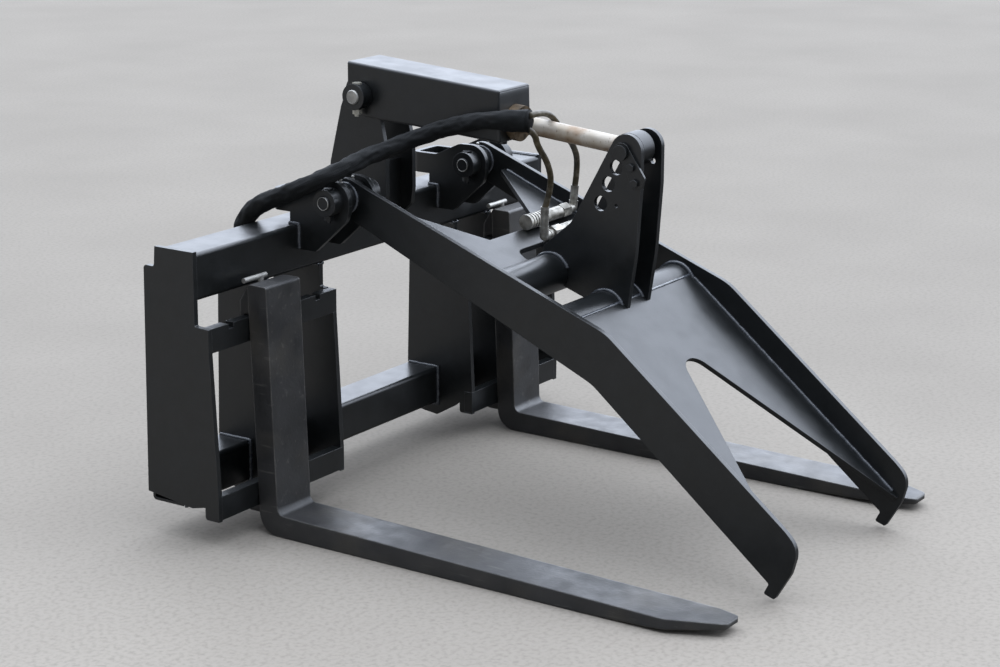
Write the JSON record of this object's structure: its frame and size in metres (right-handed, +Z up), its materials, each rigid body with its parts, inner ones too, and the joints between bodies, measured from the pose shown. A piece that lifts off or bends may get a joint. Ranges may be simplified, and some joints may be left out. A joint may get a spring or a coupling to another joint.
{
  "type": "pallet fork grapple",
  "caption": "Fork carriage for a loader with sliding pallet forks and a cylinder-driven grapple that closes down between them",
  "frame": {"origin": "middle of the footprint, on the ground that the forks rest on", "axes": "+X across the carriage to the right when looking from the forks at the carriage's left, +Y from the forks back to the machine, +Z up"},
  "size_m": [1.304, 1.3578, 0.9367],
  "materials": {
    "frame_paint": "semi-gloss black paint over welded steel",
    "fork_paint": "dark grey-black paint with worn edges",
    "plated_steel": "zinc-plated steel",
    "coupler_steel": "bright plated steel",
    "rod_chrome": "hard chrome under a cream storage wax with brown stains",
    "hose_rubber": "matt hose cover, olive brown",
    "sleeve_fabric": "woven nylon abrasion sleeve"
  },
  "bodies": {
    "root": {"top_tube": "frame_paint", "lower_tube": "frame_paint", "left_end_plate": "frame_paint", "right_end_plate": "frame_paint", "left_middle_plate": "frame_paint", "right_middle_plate": "frame_paint", "left_inner_plate": "frame_paint", "right_inner_plate": "frame_paint", "left_upper_rail": "frame_paint", "right_upper_rail": "frame_paint", "left_lower_rail": "frame_paint", "right_lower_rail": "frame_paint", "left_hinge_bracket": "frame_paint", "right_hinge_bracket": "frame_paint", "left_hinge_pin": "plated_steel", "right_hinge_pin": "plated_steel", "left_tower_leg": "frame_paint", "right_tower_leg": "frame_paint", "tower_cross_plate": "frame_paint", "base_pin": "plated_steel", "base_pin_collars": "frame_paint", "hinge_pin_collars": "frame_paint", "pin_bolts": "plated_steel", "pin_nuts": "plated_steel", "hose_sleeve": "sleeve_fabric"},
    "grapple": {"left_arm": "frame_paint", "right_arm": "frame_paint", "arm_bosses": "frame_paint", "grease_nipples": "plated_steel", "rear_web": "frame_paint", "front_web": "frame_paint", "rear_cross_tube": "frame_paint", "front_cross_tube": "frame_paint", "left_clevis_lug": "frame_paint", "right_clevis_lug": "frame_paint", "rod_pin": "plated_steel", "rod_pin_flag": "frame_paint", "flag_bolts": "plated_steel", "rod_pin_spacers": "frame_paint", "coupler_a": "coupler_steel", "coupler_b": "coupler_steel", "hose_elbows": "coupler_steel", "hose_a": "hose_rubber", "hose_b": "hose_rubber"},
    "cylinder_body": {"cylinder_barrel": "frame_paint", "cylinder_base_eye": "frame_paint", "cylinder_gland": "frame_paint", "cylinder_ports": "frame_paint", "cylinder_guard": "frame_paint"},
    "rod_body": {"cylinder_rod": "rod_chrome", "cylinder_piston": "frame_paint", "rod_eye": "frame_paint"},
    "left_fork_body": {"left_fork": "fork_paint", "left_upper_hook": "fork_paint", "left_lower_hook": "fork_paint"},
    "right_fork_body": {"right_fork": "fork_paint", "right_upper_hook": "fork_paint", "right_lower_hook": "fork_paint"},
    "left_lock": {"left_lock_pin": "plated_steel"},
    "right_lock": {"right_lock_pin": "plated_steel"}
  },
  "joints": [
    {"name": "grapple_open", "type": "hinge", "parent": "root", "child": "grapple", "pos_m": [0, 0.428, 0.683], "axis": [-1, 0, 0], "range_deg": [0, 40], "deforming": ["hose_a", "hose_b"]},
    {"name": "cylinder_tilt", "type": "hinge", "parent": "root", "child": "cylinder_body", "pos_m": [0, 0.534, 0.865], "axis": [-1, 0, 0], "range_deg": [0, 36]},
    {"name": "rod_stroke", "type": "slide", "parent": "cylinder_body", "child": "rod_body", "axis": [0, 0.9964, 0.0847], "range_m": [0, 0.14]},
    {"name": "left_fork_slide", "type": "slide", "parent": "root", "child": "left_fork_body", "axis": [1, 0, 0], "range_m": [-0.112, 0.088]},
    {"name": "right_fork_slide", "type": "slide", "parent": "root", "child": "right_fork_body", "axis": [1, 0, 0], "range_m": [-0.088, 0.142]},
    {"name": "left_lock_drop", "type": "slide", "parent": "left_fork_body", "child": "left_lock", "axis": [0, 0, 1], "range_m": [-0.009, 0]},
    {"name": "right_lock_drop", "type": "slide", "parent": "right_fork_body", "child": "right_lock", "axis": [0, 0, 1], "range_m": [-0.009, 0]}
  ],
  "couplings": [
    {"joint": "cylinder_tilt", "follows": "grapple_open", "ratio": 0.8904},
    {"joint": "rod_stroke", "follows": "grapple_open", "m_per_rad": 0.1957}
  ]
}
